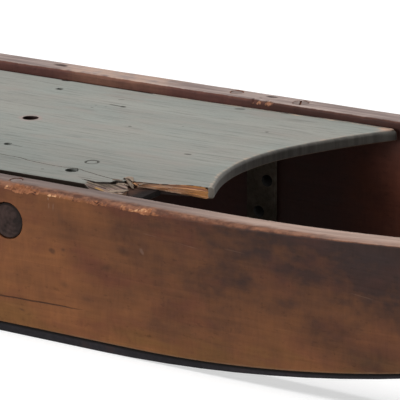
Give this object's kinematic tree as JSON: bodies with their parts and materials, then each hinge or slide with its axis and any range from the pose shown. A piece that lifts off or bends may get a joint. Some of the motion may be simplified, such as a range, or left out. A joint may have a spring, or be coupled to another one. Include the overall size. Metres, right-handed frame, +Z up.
{
  "type": "wooden sled",
  "caption": "Child's wooden sled: plank runners shod with iron, tenoned cross bars and a nose rung, and a painted deck let in between the planks, split and broken along its right side.",
  "frame": {"origin": "on the floor, under the middle of the sled's overall length and width", "axes": "+X forward to the upswept noses, +Y to the sled's left, +Z up"},
  "size_m": [0.963, 0.332, 0.131],
  "materials": {
    "runner_wood": "worn brown varnish over planed wood",
    "deck_paint": "weathered grey-green paint over wood",
    "frame_wood": "bare wood, dark with age",
    "shoe_iron": "dark wrought iron, worn on the running face",
    "strap_iron": "flat iron under old grey-green paint"
  },
  "bodies": {
    "root": {"runner_right": "runner_wood", "runner_left": "runner_wood", "shoe_right": "shoe_iron", "shoe_left": "shoe_iron", "deck_board": "deck_paint", "deck_split_strip": "deck_paint", "cross_bar_front": "frame_wood", "cross_bar_middle": "frame_wood", "cross_bar_rear": "frame_wood", "nose_rung": "frame_wood", "strap_right": "strap_iron", "strap_left": "strap_iron"}
  },
  "joints": []
}
